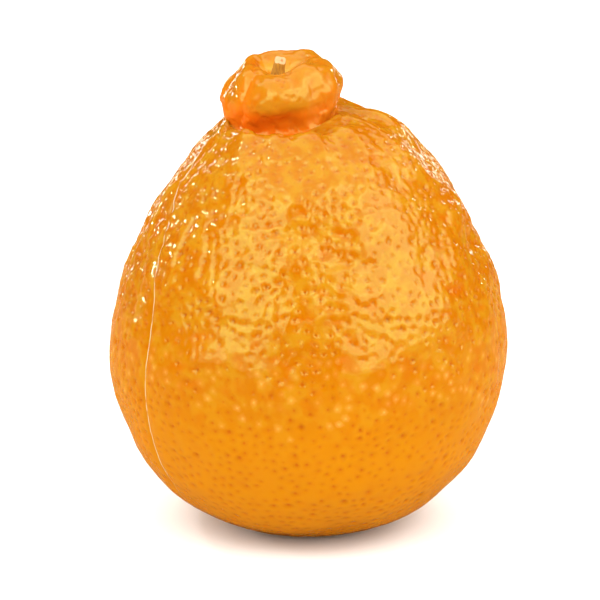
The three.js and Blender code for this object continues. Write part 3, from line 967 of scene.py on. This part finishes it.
def rind_material(settings):
    """Waxy orange rind with fine mottling. Painted shade deepens it in the hollows, the folds and
    under the knob, the pits are deeper in their own tint and in painted shade, painted light
    brightens the foot and the stem pit, and painted highlights make the specks and the seam's pale
    line."""
    maker = MaterialMaker("waxy_rind")
    patches = maker.group(mottle_group(), Patches_per_metre=70.0, Detail=3.0, From=0.3, To=0.7)
    flecks = maker.group(mottle_group(), Patches_per_metre=280.0, Detail=2.0, From=0.42, To=0.62)
    colour = maker.mix(patches, settings.peel_colour, settings.peel_light_colour)
    colour = maker.mix(maker.math("MULTIPLY", flecks, 0.75), colour, settings.fleck_colour)
    # Painted light: brighter round the foot, for the light bounced up from the floor
    low = maker.attribute("low")
    colour = maker.mix(low, colour, settings.foot_bounce_light_colour)
    colour = maker.mix(maker.attribute("knob"), colour, settings.knob_colour)
    # Painted light in the stem pit
    colour = maker.mix(maker.attribute("well"), colour, settings.stem_pit_light_colour)
    # Painted shade in the hollows between the pebbles
    colour = maker.mix(maker.attribute("hollow"), colour, settings.hollow_shade_colour)
    # Darker in the pits: the glands' own tint and painted shade
    pit = maker.math("MULTIPLY", maker.attribute("pit"), 0.9, clamp=True)
    colour = maker.mix(pit, colour, settings.pit_tint_and_shade_colour)
    # Painted highlight on the glands that stand out
    colour = maker.mix(maker.attribute("speck"), colour, settings.speck_highlight_colour)
    # Painted shade deep in the folds and in the blotch
    fold = maker.span(maker.attribute("fold"), 0.2, 1.3, 0.0, 0.8)
    colour = maker.mix(fold, colour, settings.fold_shade_colour)
    # Painted shade under the front of the knob
    colour = maker.mix(maker.attribute("neck"), colour, settings.under_knob_shade_colour)
    # Painted highlight: the seam's pale line
    beside = maker.math("ABSOLUTE", maker.attribute("beside"))
    broken = maker.group(mottle_group(), Patches_per_metre=300.0, Detail=2.0, From=0.3, To=0.5)
    seam = maker.math("MULTIPLY", maker.span(beside, 0.05, 0.2, 1.0, 0.0), maker.attribute("seam"))
    colour = maker.mix(maker.math("MULTIPLY", seam, broken), colour, settings.seam_highlight_colour)
    maker.links.new(colour, maker.shader.inputs["Base Color"])
    gloss = maker.group(mottle_group(), Patches_per_metre=260.0, Detail=2.0, From=0.3, To=0.7)
    duller = maker.math("MULTIPLY", low, 0.03)
    roughness = maker.math("ADD", maker.span(gloss, 0, 1, 0.055, 0.1), duller)
    maker.links.new(roughness, maker.shader.inputs["Roughness"])
    maker.set(IOR=1.45, Specular_IOR_Level=0.7, Specular_Tint=(0.5, 1.0, 0.33, 1.0))
    maker.set(Subsurface_Weight=0.3, Subsurface_Radius=(1.0, 0.3, 0.05), Subsurface_Scale=0.0014)
    maker.bump(maker.group(grain_group(), Grains_per_metre=1100.0), 0.00003)
    return maker.material


def stem_material(settings):
    """Woody green-brown bark, a pale cut face with its pith, and a dull green calyx."""
    maker = MaterialMaker("cut_stem")
    streaks = maker.group(grain_group(), Stretch=(3.0, 3.0, 0.5), Grains_per_metre=700.0)
    blotches = maker.group(mottle_group(), Patches_per_metre=500.0, Detail=3.0)
    cracks = maker.span(streaks, 0.35, 0.65)
    colour = maker.mix(cracks, settings.bark_dark_colour, settings.bark_colour)
    colour = maker.mix(maker.attribute("calyx"), colour, settings.calyx_colour)
    colour = maker.mix(maker.math("MULTIPLY", blotches, 0.35), colour, settings.bark_dark_colour)
    wood = maker.mix(maker.attribute("pith"), settings.wood_colour, settings.pith_colour)
    colour = maker.mix(maker.attribute("cut"), colour, wood)
    maker.links.new(colour, maker.shader.inputs["Base Color"])
    maker.set(Roughness=0.75, Specular_IOR_Level=0.2)
    maker.bump(streaks, 0.0001)
    return maker.material


# The stem with its calyx, from the calyx's underside round its rim and up to the cut: share of
# the stem's radius, height in millimetres, share of the calyx's lobes, share of the slanting cut
STEM_SECTIONS = [
    (0.0, 0.0, 0, 0),
    (0.9, 0.12, 0.4, 0),
    (1.3, 0.4, 1, 0),
    (1.4, 0.6, 1, 0),
    (1.42, 0.8, 1, 0),
    (1.36, 0.98, 1, 0),
    (1.27, 1.2, 0.5, 0),
    (1.22, 1.5, 0.15, 0),
    (1.15, 1.9, 0, 0),
    (1.1, 2.4, 0, 0.1),
    (1.04, 3.0, 0, 0.4),
    (1.0, 3.7, 0, 0.8),
    (0.98, 4.5, 0, 1),
    (0.93, 4.75, 0, 1),
    (0.8, 4.8, 0, 1),
    (0.45, 4.8, 0, 1),
    (0.0, 4.74, 0, 1),
]
CUT_START = 13.4
CALYX_END = 7.2

# Calyx lobes, bark ridges and the cut face: slope, humps and torn wood, and the pith's place
CALYX_LOBES = 5
CALYX_LOBE_DEPTH = 0.16
BARK_RIDGES = 11
BARK_RIDGE_DEPTH = 0.05
CUT_SLOPE = 0.6
CUT_HUMP = 0.2
CUT_TORN = 0.18
PITH_RADIUS = 0.3
PITH_OFFSET = 0.35

# Rings of points along the stem, and points in a ring
STEM_ROWS = 90
STEM_AROUND = 72


def stem_mesh(settings):
    """Points, triangles and masks of the stem: rings from the calyx's underside to the cut."""
    rows = np.array(STEM_SECTIONS, float)
    place = np.repeat(np.linspace(0, len(rows) - 1, STEM_ROWS), STEM_AROUND)
    turn = np.tile(np.arange(STEM_AROUND) * 2 * math.pi / STEM_AROUND, STEM_ROWS)
    share, height, lobed, cut = spline(rows, place).T
    share = np.maximum(share, 0)
    radius = share * settings.stem_radius / MM
    height = height * settings.stem_length / MM / STEM_SECTIONS[-2][1]
    radius *= 1 + CALYX_LOBE_DEPTH * lobed * np.cos(CALYX_LOBES * turn)
    on_bark = smoothstep(place, CALYX_END, CALYX_END + 1.5)
    on_bark *= 1 - smoothstep(place, CUT_START - 0.6, CUT_START)
    ridges = np.sin(BARK_RIDGES * turn + 0.8 * np.sin(1.3 * height))
    radius += on_bark * BARK_RIDGE_DEPTH / 2 * ridges
    x = radius * np.sin(turn)
    y = -radius * np.cos(turn)
    hump = CUT_HUMP * share * np.cos(3 * turn)
    z = height + cut * (CUT_SLOPE * y + hump)
    on_cut = smoothstep(place, CUT_START - 0.25, CUT_START + 0.1)
    torn = np.array([noise.noise(Vector((u, v, 0.0)) * 1.7) for u, v in zip(x, y)])
    z += on_cut * (share > 0.02) * CUT_TORN * torn
    lean = settings.stem_lean
    tilted_x = x * math.cos(lean) + z * math.sin(lean)
    tilted_z = z * math.cos(lean) - x * math.sin(lean)
    points = np.column_stack([tilted_x, y, tilted_z])
    pith = on_cut * bump(np.hypot(x - PITH_OFFSET, y), PITH_RADIUS)
    calyx = 1 - smoothstep(place, CALYX_END - 0.8, CALYX_END + 0.6)
    return points, stem_triangles(), {"cut": on_cut, "pith": pith, "calyx": calyx}


def stem_triangles():
    """Triangles between the stem's rings. The first and the last ring are poles."""
    triangles = []
    for row in range(STEM_ROWS - 1):
        for column in range(STEM_AROUND):
            a = row * STEM_AROUND + column
            b = row * STEM_AROUND + (column + 1) % STEM_AROUND
            c, d = a + STEM_AROUND, b + STEM_AROUND
            if row > 0:
                triangles.append((a, b, d))
            if row < STEM_ROWS - 2:
                triangles.append((a, d, c))
    return np.array(triangles)


def merge_poles(points, triangles, masks):
    """One point for each end of the rings in place of a ring of equal points."""
    last = len(points) - STEM_AROUND
    index = np.arange(len(points))
    index[:STEM_AROUND] = 0
    index[last:] = last
    kept, inverse = np.unique(index, return_inverse=True)
    triangles = inverse[triangles]
    return points[kept], triangles, {name: values[kept] for name, values in masks.items()}


class RindSettings(bpy.types.PropertyGroup):
    """Sizes and colours of the rind."""

    body_radius: FloatProperty(
        name="Body radius", description="Radius of the body where it is widest",
        default=BODY_RADIUS_SHARE * FRUIT_WIDTH, unit="LENGTH")
    neck_height: FloatProperty(
        name="Neck height", description="Height from the foot to the neck",
        default=NECK_HEIGHT_SHARE * FRUIT_HEIGHT, unit="LENGTH")
    knob_radius: FloatProperty(
        name="Knob radius", description="Radius of the knob without its lobes",
        default=KNOB_RADIUS_SHARE * FRUIT_WIDTH, unit="LENGTH")
    knob_height: FloatProperty(
        name="Knob height", description="Height of the knob's crest above the neck",
        default=KNOB_HEIGHT_SHARE * FRUIT_HEIGHT, unit="LENGTH")
    gland_spacing: FloatProperty(
        name="Gland spacing", description="Least distance between two oil glands of the body",
        default=0.00182, unit="LENGTH", precision=5)
    knob_gland_spacing: FloatProperty(
        name="Knob gland spacing", description="Least distance between two oil glands of the knob",
        default=0.0013, unit="LENGTH", precision=5)
    pit_depth: FloatProperty(
        name="Pit depth", description="Depth of a gland's pit",
        default=0.0004, unit="LENGTH", precision=5)
    pit_width: FloatProperty(
        name="Pit width", description="Half width of a gland's pit",
        default=0.00046, unit="LENGTH", precision=5)
    pebble_height: FloatProperty(
        name="Pebble height", description="Height of the pebbles and wrinkles between the pits",
        default=0.0002, unit="LENGTH", precision=5)
    peel_colour: FloatVectorProperty(
        name="Peel", description="Main colour of the rind", subtype="COLOR", size=3,
        default=(0.35, 0.1, 0.0008), min=0, max=1)
    peel_light_colour: FloatVectorProperty(
        name="Light peel", description="Colour of the lighter patches", subtype="COLOR", size=3,
        default=(0.36, 0.115, 0.001), min=0, max=1)
    fleck_colour: FloatVectorProperty(
        name="Flecks", description="Colour of the small flecks", subtype="COLOR", size=3,
        default=(0.38, 0.168, 0.006), min=0, max=1)
    # Painted light: the brighter colour round the foot stands in for the floor's bounce light
    foot_bounce_light_colour: FloatVectorProperty(
        name="Foot", description="Colour of the duller rind round the foot",
        subtype="COLOR", size=3, default=(0.435, 0.149, 0.0011), min=0, max=1)
    knob_colour: FloatVectorProperty(
        name="Knob", description="Colour of the knob", subtype="COLOR", size=3,
        default=(0.375, 0.13, 0.0045), min=0, max=1)
    # Painted light: the bright colour that lifts the stem pit out of its shade
    stem_pit_light_colour: FloatVectorProperty(
        name="Stem pit", description="Colour of the pit round the stem", subtype="COLOR", size=3,
        default=(0.72, 0.25, 0.01), min=0, max=1)
    # Painted shade: the darker colour in the hollows between the pebbles
    hollow_shade_colour: FloatVectorProperty(
        name="Hollows", description="Colour in the hollows between the pebbles",
        subtype="COLOR", size=3, default=(0.39, 0.083, 0.0008), min=0, max=1)
    # The pits' own deeper tint, with painted shade in it
    pit_tint_and_shade_colour: FloatVectorProperty(
        name="Pits", description="Colour in the pits of the glands", subtype="COLOR", size=3,
        default=(0.38, 0.083, 0.001), min=0, max=1)
    # Painted highlight: the pale specks on the glands that stand out in the lower half
    speck_highlight_colour: FloatVectorProperty(
        name="Specks", description="Colour of the glands that stand out in the lower half",
        subtype="COLOR", size=3, default=(0.62, 0.3, 0.06), min=0, max=1)
    # Painted shade: the darker red deep in the knob's folds
    fold_shade_colour: FloatVectorProperty(
        name="Folds", description="Colour deep in the knob's folds", subtype="COLOR", size=3,
        default=(0.5, 0.112, 0.003), min=0, max=1)
    # Painted shade: the deep red-orange under the knob's overhang
    under_knob_shade_colour: FloatVectorProperty(
        name="Neck", description="Colour under the front of the knob", subtype="COLOR", size=3,
        default=(0.6, 0.104, 0.003), min=0, max=1)
    # Painted highlight: the pale line along the seam
    seam_highlight_colour: FloatVectorProperty(
        name="Seam", description="Colour of the fine line along the seam", subtype="COLOR", size=3,
        default=(0.5, 0.38, 0.2), min=0, max=1)


class StemSettings(bpy.types.PropertyGroup):
    """Sizes and colours of the cut stem."""

    stem_radius: FloatProperty(
        name="Stem radius", description="Radius of the cut stem",
        default=0.0013, unit="LENGTH", precision=5)
    stem_length: FloatProperty(
        name="Stem length", description="Length from the calyx's underside to the cut",
        default=0.0048, unit="LENGTH", precision=5)
    stem_lean: FloatProperty(
        name="Stem lean", description="How far the stem leans to the right",
        default=math.radians(10), unit="ROTATION")
    stem_gap: FloatProperty(
        name="Stem gap", description="Gap between the stem's calyx and the floor of the pit",
        default=0.0006, unit="LENGTH", precision=5)
    bark_colour: FloatVectorProperty(
        name="Bark", description="Main colour of the bark", subtype="COLOR", size=3,
        default=(0.46, 0.22, 0.018), min=0, max=1)
    bark_dark_colour: FloatVectorProperty(
        name="Dark bark", description="Colour of the bark's cracks", subtype="COLOR", size=3,
        default=(0.26, 0.115, 0.012), min=0, max=1)
    calyx_colour: FloatVectorProperty(
        name="Calyx", description="Colour of the calyx", subtype="COLOR", size=3,
        default=(0.22, 0.2, 0.05), min=0, max=1)
    wood_colour: FloatVectorProperty(
        name="Cut wood", description="Colour of the cut face", subtype="COLOR", size=3,
        default=(0.55, 0.31, 0.15), min=0, max=1)
    pith_colour: FloatVectorProperty(
        name="Pith", description="Colour of the pith in the cut face", subtype="COLOR", size=3,
        default=(0.35, 0.12, 0.03), min=0, max=1)


class StageSettings(bpy.types.PropertyGroup):
    """The camera, the lights and the floor."""

    camera_elevation: FloatProperty(
        name="Camera elevation", description="How far the camera looks down",
        default=math.radians(15), unit="ROTATION")
    camera_distance: FloatProperty(
        name="Camera distance", description="Distance from the camera to its target",
        default=0.62, unit="LENGTH")
    lens: FloatProperty(
        name="Lens", description="Focal length in millimetres", default=168.6)
    softbox_power: FloatProperty(
        name="Softbox power", description="Power of the left softbox with its halo",
        default=9.4, unit="POWER")
    overhead_power: FloatProperty(
        name="Overhead power", description="Power of the wide light above",
        default=26.0, unit="POWER")
    strip_power: FloatProperty(
        name="Strip power", description="Power of each small bright light on the left",
        default=2.2, unit="POWER")
    fill_power: FloatProperty(
        name="Fill power", description="Power of the soft fill from the sides and the back",
        default=2.7, unit="POWER")
    sky: FloatProperty(
        name="Sky", description="Brightness of the room", default=0.4)
    sky_colour: FloatVectorProperty(
        name="Sky colour", description="Colour of the warm white room", subtype="COLOR", size=3,
        default=(1.0, 0.82, 0.5), min=0, max=1)
    mirrored_sky_colour: FloatVectorProperty(
        name="Mirrored sky", description="Colour of the room where the rind mirrors it",
        subtype="COLOR", size=3, default=(1.0, 0.4, 0.05), min=0, max=1)
    floor_colour: FloatVectorProperty(
        name="Floor", description="Colour of the floor", subtype="COLOR", size=3,
        default=(0.92, 0.92, 0.92), min=0, max=1)
    mirrored_floor_colour: FloatVectorProperty(
        name="Mirrored floor", description="Colour of the floor where the rind mirrors it",
        subtype="COLOR", size=3, default=(0.42, 0.2, 0.07), min=0, max=1)


class TANGELO_OT_rind(bpy.types.Operator):
    """Build the fruit: body, furrows, knob, stem pit and oil glands in one piece"""

    bl_idname = "tangelo.rind"
    bl_label = "Build rind"

    def execute(self, context):
        settings = context.scene.tangelo_rind
        shape = RindShape(settings)
        field = GlandField(shape, settings)
        mesh = RindMesh(shape, field, settings)
        material = rind_material(settings)
        piece = mesh_object("pebbled_rind", mesh.points, mesh.triangles, mesh.masks, material)
        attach(piece, "root")
        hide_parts("fruit")
        print("rind:", len(field.place), "glands,", len(mesh.triangles), "triangles")
        return {"FINISHED"}


class TANGELO_OT_stem(bpy.types.Operator):
    """Build the stub of the cut stem with its five-lobed calyx"""

    bl_idname = "tangelo.stem"
    bl_label = "Build stem"

    def execute(self, context):
        settings = context.scene.tangelo_stem
        points, triangles, masks = merge_poles(*stem_mesh(settings))
        shape = RindShape(context.scene.tangelo_rind)
        pit_floor = shape.points(np.array([float(PIT_FLOOR)]), np.zeros(1))[0]
        points += pit_floor + np.array([0, 0, settings.stem_gap / MM])
        piece = mesh_object("cut_stem", points, triangles, masks, stem_material(settings))
        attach(piece, "root")
        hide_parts("stem")
        return {"FINISHED"}


# Where the camera and the lights look, and half the width of the floor
CAMERA_TARGET = Vector((-0.0017, 0.0, 0.0501))
FLOOR_HALF_WIDTH = 2.5

# The lights: name, kind, share of the kind's power, angle from the front to the right, height
# angle, distance from the target, width and height. A softbox has a dimmer halo round its core.
# The fills only brighten the rind's sides and never mirror in it.
LIGHTS = [
    ("softbox_left_core", "softbox", 0.6, -42, 33, 0.9, 0.65, 0.7),
    ("softbox_right_core", "softbox", 0.9, 57, 33, 0.9, 1.0, 0.7),
    ("softbox_left_halo", "softbox", 0.4, -42, 33, 0.9, 0.975, 1.05),
    ("softbox_right_halo", "softbox", 0.6, 57, 33, 0.9, 1.5, 1.05),
    ("overhead", "overhead", 1.0, 0, 88, 1.4, 2.4, 2.4),
    ("strip_left_low", "strip", 1.0, -112, 14, 1.2, 0.02, 0.1),
    ("strip_left_high", "strip", 1.0, -112, 46, 1.2, 0.02, 0.1),
    ("rim_left", "strip", 0.4, -153, 10, 1.2, 0.06, 0.4),
    ("rim_right", "strip", 0.25, 153, 10, 1.2, 0.06, 0.4),
    ("strip_right", "strip", 0.4, 132, 28, 1.2, 0.02, 0.2),
    ("fill_left", "fill", 1.0, -105, 22, 1.0, 0.8, 0.8),
    ("fill_right", "fill", 0.5, 95, 35, 1.0, 0.8, 0.8),
    ("fill_back", "fill", 1.0, 178, 35, 1.0, 0.8, 0.8),
]


def facing_target(name, data, azimuth, elevation, distance):
    """A light or a camera that looks at the fruit from a given side."""
    away = Vector((math.sin(azimuth) * math.cos(elevation),
                   -math.cos(azimuth) * math.cos(elevation), math.sin(elevation)))
    piece = bpy.data.objects.new(name, data)
    piece.location = CAMERA_TARGET + distance * away
    piece.rotation_euler = away.to_track_quat("Z", "Y").to_euler()
    bpy.context.scene.collection.objects.link(piece)
    return piece


def add_lights(settings):
    """All the lights of the table."""
    for name, kind, share, azimuth, elevation, distance, width, height in LIGHTS:
        light = bpy.data.lights.new(name, "AREA")
        light.shape = "RECTANGLE"
        light.size = width
        light.size_y = height
        light.energy = share * getattr(settings, kind + "_power")
        lamp = facing_target(name, light, math.radians(azimuth), math.radians(elevation), distance)
        lamp.visible_glossy = kind != "fill"


def add_camera(settings):
    """The camera at the photo's angle."""
    camera = bpy.data.cameras.new("camera")
    camera.sensor_fit = "HORIZONTAL"
    camera.sensor_width = 36
    camera.lens = settings.lens
    camera.clip_start = 0.01
    bpy.context.scene.camera = facing_target(
        "camera", camera, 0.0, settings.camera_elevation, settings.camera_distance)


def floor_material(colour, mirrored):
    """Matte paper, white to the camera. Where the rind mirrors it, a painted dim orange reflection
    takes the place of its white, so that the rind's edges stay deep orange.
    """
    maker = MaterialMaker("pale_floor")
    tone = maker.group(mottle_group(), Patches_per_metre=6.0, Detail=2.0)
    dimmer = [0.985 * value for value in colour]
    seen = maker.mix(tone, colour, dimmer)
    glossy = maker.nodes.new("ShaderNodeLightPath").outputs["Is Glossy Ray"]
    maker.links.new(maker.mix(glossy, seen, mirrored), maker.shader.inputs["Base Color"])
    maker.set(Roughness=0.8, Specular_IOR_Level=0.2)
    return maker.material


def add_floor(settings):
    """The plain pale floor."""
    half = FLOOR_HALF_WIDTH
    corners = [(-half, -half, 0), (half, -half, 0), (half, half, 0), (-half, half, 0)]
    mesh = bpy.data.meshes.new("floor")
    mesh.from_pydata(corners, [], [(0, 1, 2, 3)])
    mesh.materials.append(floor_material(settings.floor_colour, settings.mirrored_floor_colour))
    floor = bpy.data.objects.new("floor", mesh)
    bpy.context.scene.collection.objects.link(floor)


def add_room(settings):
    """The warm white room: plain white to the camera, and orange where the rind mirrors it."""
    world = bpy.data.worlds.new("white_room")
    world.use_nodes = True
    nodes, links = world.node_tree.nodes, world.node_tree.links
    background = nodes["Background"]
    background.inputs["Strength"].default_value = settings.sky
    tint = nodes.new("ShaderNodeMix")
    tint.data_type = "RGBA"
    tint.inputs[6].default_value = (*settings.sky_colour, 1)
    tint.inputs[7].default_value = (*settings.mirrored_sky_colour, 1)
    paths = nodes.new("ShaderNodeLightPath")
    seen = nodes.new("ShaderNodeMix")
    seen.data_type = "RGBA"
    white = 1 / settings.sky
    seen.inputs[7].default_value = (white, white, white, 1)
    links.new(paths.outputs["Is Glossy Ray"], tint.inputs["Factor"])
    links.new(paths.outputs["Is Camera Ray"], seen.inputs["Factor"])
    links.new(tint.outputs[2], seen.inputs[6])
    links.new(seen.outputs[2], background.inputs["Color"])
    bpy.context.scene.world = world


class TANGELO_OT_stage(bpy.types.Operator):
    """Set up the floor, the room, the lights and the camera"""

    bl_idname = "tangelo.stage"
    bl_label = "Build stage"

    def execute(self, context):
        settings = context.scene.tangelo_stage
        context.scene.view_settings.view_transform = "Standard"
        add_floor(settings)
        add_room(settings)
        add_lights(settings)
        add_camera(settings)
        return {"FINISHED"}


class TANGELO_PT_panel(bpy.types.Panel):
    """Sidebar panel with the build steps and their settings"""

    bl_idname = "TANGELO_PT_panel"
    bl_label = "Tangelo"
    bl_space_type = "VIEW_3D"
    bl_region_type = "UI"
    bl_category = "Tangelo"

    def draw(self, context):
        """One box for each build step, with its settings under it."""
        for operator, settings in (
            (TANGELO_OT_rind, context.scene.tangelo_rind),
            (TANGELO_OT_stem, context.scene.tangelo_stem),
            (TANGELO_OT_stage, context.scene.tangelo_stage),
        ):
            box = self.layout.box()
            box.operator(operator.bl_idname)
            for name in settings.__annotations__:
                box.prop(settings, name)


CLASSES = (
    RindSettings,
    StemSettings,
    StageSettings,
    TANGELO_OT_rind,
    TANGELO_OT_stem,
    TANGELO_OT_stage,
    TANGELO_PT_panel,
)


def register():
    """Adds the classes and the settings."""
    for cls in CLASSES:
        bpy.utils.register_class(cls)
    bpy.types.Scene.tangelo_rind = PointerProperty(type=RindSettings)
    bpy.types.Scene.tangelo_stem = PointerProperty(type=StemSettings)
    bpy.types.Scene.tangelo_stage = PointerProperty(type=StageSettings)


def unregister():
    """Takes the settings and the classes away again."""
    del bpy.types.Scene.tangelo_stage
    del bpy.types.Scene.tangelo_stem
    del bpy.types.Scene.tangelo_rind
    for cls in reversed(CLASSES):
        bpy.utils.unregister_class(cls)


def main():
    """Builds the fruit, its stem and the stage."""
    register()
    bpy.ops.tangelo.rind()
    bpy.ops.tangelo.stem()
    bpy.ops.tangelo.stage()


if __name__ == "__main__":
    main()
